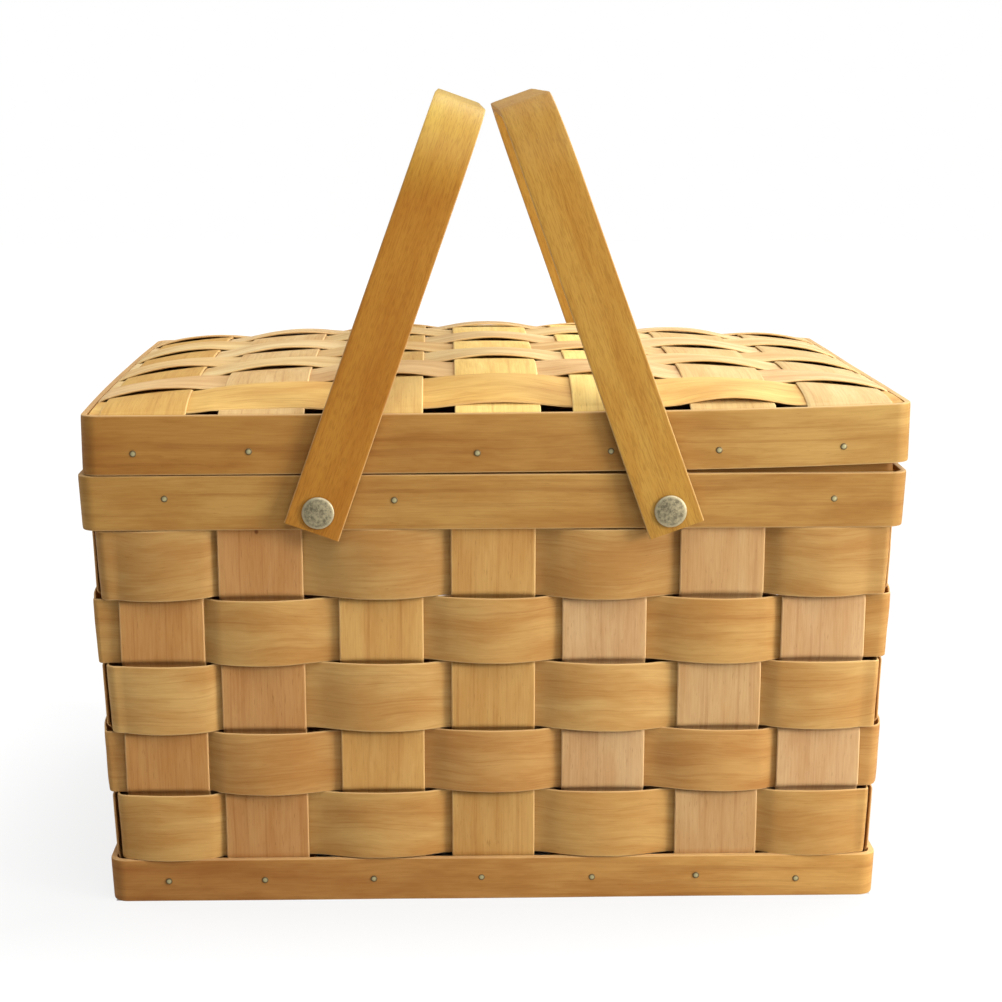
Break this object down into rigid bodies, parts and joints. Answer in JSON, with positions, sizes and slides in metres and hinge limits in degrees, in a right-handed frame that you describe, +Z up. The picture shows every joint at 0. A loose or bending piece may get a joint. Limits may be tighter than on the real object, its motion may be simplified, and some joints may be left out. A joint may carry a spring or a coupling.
{
  "type": "picnic basket",
  "caption": "Rectangular picnic basket woven from wide wood splints, with a domed lift-off lid and two bentwood handles that swing on rivets.",
  "frame": {"origin": "middle of the basket's footprint, on the surface it stands on", "axes": "+Z up, X along the long front wall, the front at -Y, handles hinged about Y"},
  "size_m": [0.4, 0.3064, 0.3994],
  "materials": {
    "stake_wood": "bare sliced veneer",
    "weaver_wood": "bare sliced veneer",
    "band_wood": "sanded, clear sealed",
    "handle_wood": "sanded, clear sealed",
    "rivet_metal": "dull plated"
  },
  "bodies": {
    "basket": {"front_to_back_stake_1": "stake_wood", "front_to_back_stake_2": "stake_wood", "front_to_back_stake_3": "stake_wood", "front_to_back_stake_4": "stake_wood", "front_to_back_stake_5": "stake_wood", "front_to_back_stake_6": "stake_wood", "front_to_back_stake_7": "stake_wood", "side_to_side_stake_1": "stake_wood", "side_to_side_stake_2": "stake_wood", "side_to_side_stake_3": "stake_wood", "side_to_side_stake_4": "stake_wood", "side_to_side_stake_5": "stake_wood", "weaver_row_1": "weaver_wood", "weaver_row_2": "weaver_wood", "weaver_row_3": "weaver_wood", "weaver_row_4": "weaver_wood", "weaver_row_5": "weaver_wood", "foot_band": "band_wood", "rim_band": "band_wood", "inner_rim_band": "band_wood", "left_front_rivet": "rivet_metal", "left_back_rivet": "rivet_metal", "right_front_rivet": "rivet_metal", "right_back_rivet": "rivet_metal"},
    "lid": {"lid_band": "band_wood", "lid_front_to_back_strip_1": "stake_wood", "lid_front_to_back_strip_2": "stake_wood", "lid_front_to_back_strip_3": "stake_wood", "lid_front_to_back_strip_4": "stake_wood", "lid_front_to_back_strip_5": "stake_wood", "lid_front_to_back_strip_6": "stake_wood", "lid_front_to_back_strip_7": "stake_wood", "lid_side_to_side_strip_1": "weaver_wood", "lid_side_to_side_strip_2": "weaver_wood", "lid_side_to_side_strip_3": "weaver_wood", "lid_side_to_side_strip_4": "weaver_wood", "lid_side_to_side_strip_5": "weaver_wood", "lid_side_to_side_strip_6": "weaver_wood", "lid_side_to_side_strip_7": "weaver_wood", "lid_side_to_side_strip_8": "weaver_wood"},
    "left_handle": {"left_handle": "handle_wood"},
    "right_handle": {"right_handle": "handle_wood"}
  },
  "joints": [
    {"name": "lid_lift", "type": "slide", "parent": "basket", "child": "lid", "axis": [0, 0, 1], "range_m": [0, 0.09]},
    {"name": "left_handle_swing", "type": "hinge", "parent": "basket", "child": "left_handle", "pos_m": [-0.0843, 0, 0.2018], "axis": [0, -1, 0], "range_deg": [0, 161]},
    {"name": "right_handle_swing", "type": "hinge", "parent": "basket", "child": "right_handle", "pos_m": [0.0843, 0, 0.2018], "axis": [0, 1, 0], "range_deg": [0, 161]}
  ]
}
